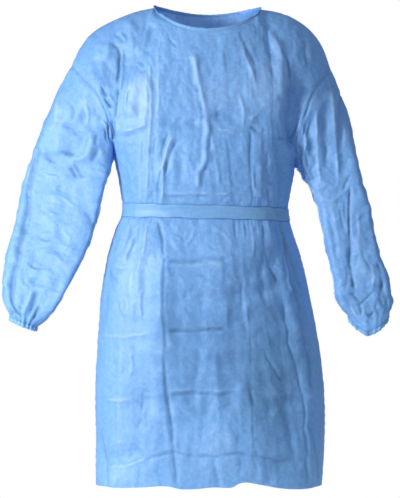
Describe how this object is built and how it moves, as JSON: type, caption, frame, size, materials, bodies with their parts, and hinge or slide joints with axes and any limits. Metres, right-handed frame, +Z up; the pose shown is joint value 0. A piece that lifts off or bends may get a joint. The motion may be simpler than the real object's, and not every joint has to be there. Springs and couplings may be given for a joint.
{
  "type": "disposable isolation gown",
  "caption": "Knee-length nonwoven isolation gown in its worn shape: round bound neck, long sleeves with elastic cuffs, narrow tied waist belt, overlapped back.",
  "frame": {"origin": "midway between the two points where the neckline meets the shoulder seams, which the wearer's shoulders hold up", "axes": "+Z up; the wearer faces -Y, so the front panel is towards -Y, and the wearer's right sleeve is towards -X"},
  "size_m": [0.9163, 0.2839, 1.1379],
  "materials": {
    "nonwoven": "thin spunbonded nonwoven, soft satin sheen, lightly creased",
    "elastic_cuff": "nonwoven gathered on a narrow elastic",
    "binding": "nonwoven strip folded over the edge",
    "strap": "folded nonwoven strip, matt"
  },
  "bodies": {
    "root": {"front": "nonwoven", "back_left": "nonwoven", "back_right": "nonwoven", "sleeve_left": "nonwoven", "sleeve_right": "nonwoven", "cuff_left": "elastic_cuff", "cuff_right": "elastic_cuff", "neck_binding": "binding", "belt": "strap", "belt_knot": "strap", "belt_end_left": "strap", "belt_end_right": "strap"}
  },
  "joints": []
}
